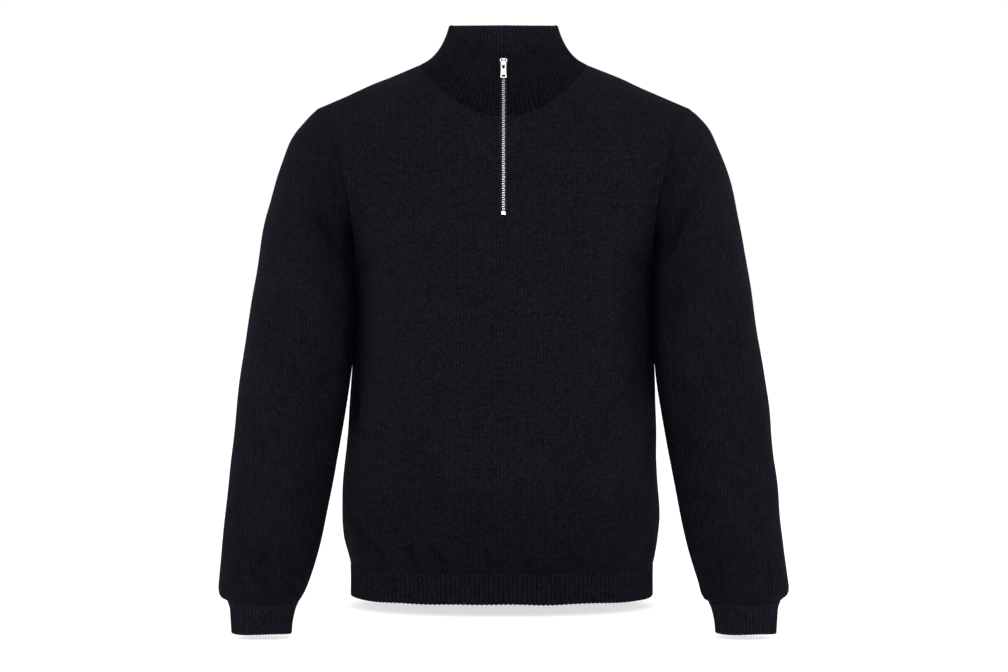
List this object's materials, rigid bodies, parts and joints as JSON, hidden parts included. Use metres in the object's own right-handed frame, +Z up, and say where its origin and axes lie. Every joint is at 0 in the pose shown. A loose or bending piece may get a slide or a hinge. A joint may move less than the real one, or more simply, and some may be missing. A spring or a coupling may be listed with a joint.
{
  "type": "quarter-zip sweater",
  "caption": "Long-sleeved knitted pullover, hollow as worn, with a folded stand collar and a short zip that has a hanging pull tab.",
  "frame": {"origin": "between the shoulders at the level of the highest points of the shoulder seams, where the wearer's shoulders hold the garment up", "axes": "+Z up, the front faces -Y, +X towards the wearer's left sleeve"},
  "size_m": [0.6994, 0.254, 0.7617],
  "materials": {
    "knit_jersey": "matt navy cotton jersey knit",
    "knit_rib": "matt navy cotton rib knit",
    "zip_tape": "woven tape",
    "zip_metal": "polished plated metal"
  },
  "bodies": {
    "garment": {"front": "knit_jersey", "back": "knit_jersey", "sleeve_left": "knit_jersey", "sleeve_right": "knit_jersey", "hem_rib": "knit_rib", "cuff_left": "knit_rib", "cuff_right": "knit_rib", "collar": "knit_rib", "zip_tape_left": "zip_tape", "zip_tape_right": "zip_tape", "zip_chain": "zip_metal", "zip_slider": "zip_metal", "zip_bottom_stop": "zip_metal"},
    "pull_tab": {"zip_pull": "zip_metal"}
  },
  "joints": [
    {"name": "pull_tab_swing", "type": "hinge", "parent": "garment", "child": "pull_tab", "pos_m": [0, -0.06991, -0.00613], "axis": [-1, 0, 0], "range_deg": [0, 165]}
  ]
}
